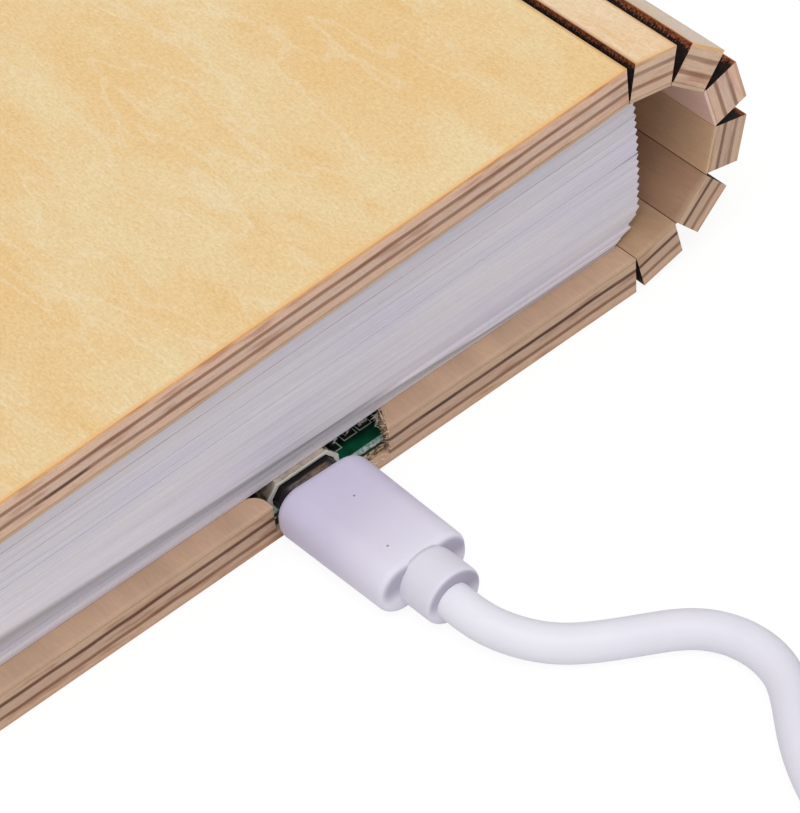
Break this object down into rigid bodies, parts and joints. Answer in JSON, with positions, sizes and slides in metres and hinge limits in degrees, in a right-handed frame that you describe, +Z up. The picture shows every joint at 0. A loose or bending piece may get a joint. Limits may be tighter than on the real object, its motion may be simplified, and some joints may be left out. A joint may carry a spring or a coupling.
{
  "type": "folding book lamp",
  "caption": "Book-shaped table lamp with flat plywood covers, a curved spine of hinged wooden slats, fanned white paper leaves and a plugged-in charging cable",
  "frame": {"origin": "middle of the closed book's box, at the base, on the outer face of the back cover", "axes": "+X across the book towards the spine, +Y along the spine away from the charging port, +Z up from the back cover to the front cover"},
  "size_m": [0.1093, 0.2172, 0.0271],
  "materials": {
    "birch_plywood": "pale, bare and fine grained",
    "lining": "matt",
    "page_paper": "matt",
    "board": "satin solder mask",
    "plated_steel": "dull plated",
    "black_plastic": "matt",
    "chip_ceramic": "matt",
    "cell_foil": "satin",
    "strip_board": "matt",
    "lamp_gel": "glossy",
    "lead_skin": "satin",
    "magnet_plating": "bright",
    "plug_moulding": "soft satin",
    "cable_skin": "soft satin",
    "tie_band": "woven"
  },
  "bodies": {
    "back": {"back_cover": "birch_plywood", "back_lining": "lining", "circuit_board": "board", "usb_socket": "plated_steel", "socket_tongue": "black_plastic", "charge_chip": "black_plastic", "hall_switch": "black_plastic", "board_passives": "chip_ceramic", "battery_cell": "cell_foil", "light_strip": "strip_board", "strip_lamps": "lamp_gel", "inner_leads": "lead_skin", "back_magnets": "magnet_plating", "back_endpaper": "page_paper"},
    "slat_1": {"spine_slat_1": "birch_plywood", "fold_strip_1": "lining"},
    "slat_2": {"spine_slat_2": "birch_plywood", "fold_strip_2": "lining"},
    "slat_3": {"spine_slat_3": "birch_plywood", "fold_strip_3": "lining"},
    "slat_4": {"spine_slat_4": "birch_plywood", "fold_strip_4": "lining"},
    "slat_5": {"spine_slat_5": "birch_plywood", "fold_strip_5": "lining"},
    "slat_6": {"spine_slat_6": "birch_plywood", "fold_strip_6": "lining"},
    "front": {"front_cover": "birch_plywood", "front_lining": "lining", "front_magnets": "magnet_plating", "front_endpaper": "page_paper"},
    "middle_leaves": {"back_leaf_10": "page_paper", "front_leaf_10": "page_paper"},
    "back_leaf_1": {"back_leaf_1": "page_paper"},
    "back_leaf_2": {"back_leaf_2": "page_paper"},
    "back_leaf_3": {"back_leaf_3": "page_paper"},
    "back_leaf_4": {"back_leaf_4": "page_paper"},
    "back_leaf_5": {"back_leaf_5": "page_paper"},
    "back_leaf_6": {"back_leaf_6": "page_paper"},
    "back_leaf_7": {"back_leaf_7": "page_paper"},
    "back_leaf_8": {"back_leaf_8": "page_paper"},
    "back_leaf_9": {"back_leaf_9": "page_paper"},
    "front_leaf_1": {"front_leaf_1": "page_paper"},
    "front_leaf_2": {"front_leaf_2": "page_paper"},
    "front_leaf_3": {"front_leaf_3": "page_paper"},
    "front_leaf_4": {"front_leaf_4": "page_paper"},
    "front_leaf_5": {"front_leaf_5": "page_paper"},
    "front_leaf_6": {"front_leaf_6": "page_paper"},
    "front_leaf_7": {"front_leaf_7": "page_paper"},
    "front_leaf_8": {"front_leaf_8": "page_paper"},
    "front_leaf_9": {"front_leaf_9": "page_paper"},
    "plug": {"plug_tip": "plated_steel", "plug_body": "plug_moulding", "plug_collar": "plug_moulding", "cable": "cable_skin", "cable_coil": "cable_skin", "cable_tail": "cable_skin", "cable_tie": "tie_band", "usb_a_grip": "plug_moulding", "usb_a_shell": "plated_steel"}
  },
  "joints": [
    {"name": "back_half_turn", "type": "hinge", "parent": "back", "child": "middle_leaves", "pos_m": [0.03754, 0, 0.00464], "axis": [0, 1, 0], "range_deg": [0, 91.15]},
    {"name": "front_half_turn", "type": "hinge", "parent": "middle_leaves", "child": "front", "pos_m": [0.03717, 0, 0.02275], "axis": [0, 1, 0], "range_deg": [0, 91.15]},
    {"name": "back_leaf_turn_9", "type": "hinge", "parent": "middle_leaves", "child": "back_leaf_9", "pos_m": [0.03754, 0, 0.00464], "axis": [0, -1, 0], "range_deg": [0, 9.12]},
    {"name": "back_leaf_turn_8", "type": "hinge", "parent": "back_leaf_9", "child": "back_leaf_8", "pos_m": [0.03754, 0, 0.00464], "axis": [0, -1, 0], "range_deg": [0, 9.12]},
    {"name": "back_leaf_turn_7", "type": "hinge", "parent": "back_leaf_8", "child": "back_leaf_7", "pos_m": [0.03754, 0, 0.00464], "axis": [0, -1, 0], "range_deg": [0, 9.12]},
    {"name": "back_leaf_turn_6", "type": "hinge", "parent": "back_leaf_7", "child": "back_leaf_6", "pos_m": [0.03754, 0, 0.00464], "axis": [0, -1, 0], "range_deg": [0, 9.12]},
    {"name": "back_leaf_turn_5", "type": "hinge", "parent": "back_leaf_6", "child": "back_leaf_5", "pos_m": [0.03754, 0, 0.00464], "axis": [0, -1, 0], "range_deg": [0, 9.12]},
    {"name": "back_leaf_turn_4", "type": "hinge", "parent": "back_leaf_5", "child": "back_leaf_4", "pos_m": [0.03754, 0, 0.00464], "axis": [0, -1, 0], "range_deg": [0, 9.12]},
    {"name": "back_leaf_turn_3", "type": "hinge", "parent": "back_leaf_4", "child": "back_leaf_3", "pos_m": [0.03754, 0, 0.00464], "axis": [0, -1, 0], "range_deg": [0, 9.12]},
    {"name": "back_leaf_turn_2", "type": "hinge", "parent": "back_leaf_3", "child": "back_leaf_2", "pos_m": [0.03754, 0, 0.00464], "axis": [0, -1, 0], "range_deg": [0, 9.12]},
    {"name": "back_leaf_turn_1", "type": "hinge", "parent": "back_leaf_2", "child": "back_leaf_1", "pos_m": [0.03754, 0, 0.00464], "axis": [0, -1, 0], "range_deg": [0, 9.12]},
    {"name": "front_leaf_turn_9", "type": "hinge", "parent": "middle_leaves", "child": "front_leaf_9", "pos_m": [0.03717, 0, 0.02275], "axis": [0, 1, 0], "range_deg": [0, 9.12]},
    {"name": "front_leaf_turn_8", "type": "hinge", "parent": "front_leaf_9", "child": "front_leaf_8", "pos_m": [0.03717, 0, 0.02275], "axis": [0, 1, 0], "range_deg": [0, 9.12]},
    {"name": "front_leaf_turn_7", "type": "hinge", "parent": "front_leaf_8", "child": "front_leaf_7", "pos_m": [0.03717, 0, 0.02275], "axis": [0, 1, 0], "range_deg": [0, 9.12]},
    {"name": "front_leaf_turn_6", "type": "hinge", "parent": "front_leaf_7", "child": "front_leaf_6", "pos_m": [0.03717, 0, 0.02275], "axis": [0, 1, 0], "range_deg": [0, 9.12]},
    {"name": "front_leaf_turn_5", "type": "hinge", "parent": "front_leaf_6", "child": "front_leaf_5", "pos_m": [0.03717, 0, 0.02275], "axis": [0, 1, 0], "range_deg": [0, 9.12]},
    {"name": "front_leaf_turn_4", "type": "hinge", "parent": "front_leaf_5", "child": "front_leaf_4", "pos_m": [0.03717, 0, 0.02275], "axis": [0, 1, 0], "range_deg": [0, 9.12]},
    {"name": "front_leaf_turn_3", "type": "hinge", "parent": "front_leaf_4", "child": "front_leaf_3", "pos_m": [0.03717, 0, 0.02275], "axis": [0, 1, 0], "range_deg": [0, 9.12]},
    {"name": "front_leaf_turn_2", "type": "hinge", "parent": "front_leaf_3", "child": "front_leaf_2", "pos_m": [0.03717, 0, 0.02275], "axis": [0, 1, 0], "range_deg": [0, 9.12]},
    {"name": "front_leaf_turn_1", "type": "hinge", "parent": "front_leaf_2", "child": "front_leaf_1", "pos_m": [0.03717, 0, 0.02275], "axis": [0, 1, 0], "range_deg": [0, 9.12]},
    {"name": "fold_1", "type": "hinge", "parent": "back", "child": "slat_1", "pos_m": [0.03116, 0, 0.0042], "axis": [0, 1, 0], "range_deg": [0, 12.9]},
    {"name": "fold_2", "type": "hinge", "parent": "slat_1", "child": "slat_2", "pos_m": [0.03618, 0, 0.00535], "axis": [0, 1, 0], "range_deg": [0, 28.7]},
    {"name": "fold_3", "type": "hinge", "parent": "slat_2", "child": "slat_3", "pos_m": [0.04003, 0, 0.00877], "axis": [0, 1, 0], "range_deg": [0, 34.7]},
    {"name": "fold_7", "type": "hinge", "parent": "front", "child": "slat_6", "pos_m": [0.03078, 0, 0.02293], "axis": [0, -1, 0], "range_deg": [0, 12.9]},
    {"name": "fold_6", "type": "hinge", "parent": "slat_6", "child": "slat_5", "pos_m": [0.03584, 0, 0.02199], "axis": [0, -1, 0], "range_deg": [0, 28.7]},
    {"name": "fold_5", "type": "hinge", "parent": "slat_5", "child": "slat_4", "pos_m": [0.03983, 0, 0.01872], "axis": [0, -1, 0], "range_deg": [0, 34.7]},
    {"name": "plug_pull", "type": "slide", "parent": "back", "child": "plug", "axis": [0, -1, 0], "range_m": [0, 0.008]}
  ],
  "couplings": [
    {"joint": "front_half_turn", "follows": "back_half_turn", "ratio": 1},
    {"joint": "back_leaf_turn_9", "follows": "back_half_turn", "ratio": 0.1},
    {"joint": "back_leaf_turn_8", "follows": "back_half_turn", "ratio": 0.1},
    {"joint": "back_leaf_turn_7", "follows": "back_half_turn", "ratio": 0.1},
    {"joint": "back_leaf_turn_6", "follows": "back_half_turn", "ratio": 0.1},
    {"joint": "back_leaf_turn_5", "follows": "back_half_turn", "ratio": 0.1},
    {"joint": "back_leaf_turn_4", "follows": "back_half_turn", "ratio": 0.1},
    {"joint": "back_leaf_turn_3", "follows": "back_half_turn", "ratio": 0.1},
    {"joint": "back_leaf_turn_2", "follows": "back_half_turn", "ratio": 0.1},
    {"joint": "back_leaf_turn_1", "follows": "back_half_turn", "ratio": 0.1},
    {"joint": "front_leaf_turn_9", "follows": "back_half_turn", "ratio": 0.1},
    {"joint": "front_leaf_turn_8", "follows": "back_half_turn", "ratio": 0.1},
    {"joint": "front_leaf_turn_7", "follows": "back_half_turn", "ratio": 0.1},
    {"joint": "front_leaf_turn_6", "follows": "back_half_turn", "ratio": 0.1},
    {"joint": "front_leaf_turn_5", "follows": "back_half_turn", "ratio": 0.1},
    {"joint": "front_leaf_turn_4", "follows": "back_half_turn", "ratio": 0.1},
    {"joint": "front_leaf_turn_3", "follows": "back_half_turn", "ratio": 0.1},
    {"joint": "front_leaf_turn_2", "follows": "back_half_turn", "ratio": 0.1},
    {"joint": "front_leaf_turn_1", "follows": "back_half_turn", "ratio": 0.1},
    {"joint": "fold_1", "follows": "back_half_turn", "ratio": 0.14153},
    {"joint": "fold_2", "follows": "back_half_turn", "ratio": 0.31487},
    {"joint": "fold_3", "follows": "back_half_turn", "ratio": 0.38069},
    {"joint": "fold_7", "follows": "back_half_turn", "ratio": 0.14153},
    {"joint": "fold_6", "follows": "back_half_turn", "ratio": 0.31487},
    {"joint": "fold_5", "follows": "back_half_turn", "ratio": 0.38069}
  ]
}
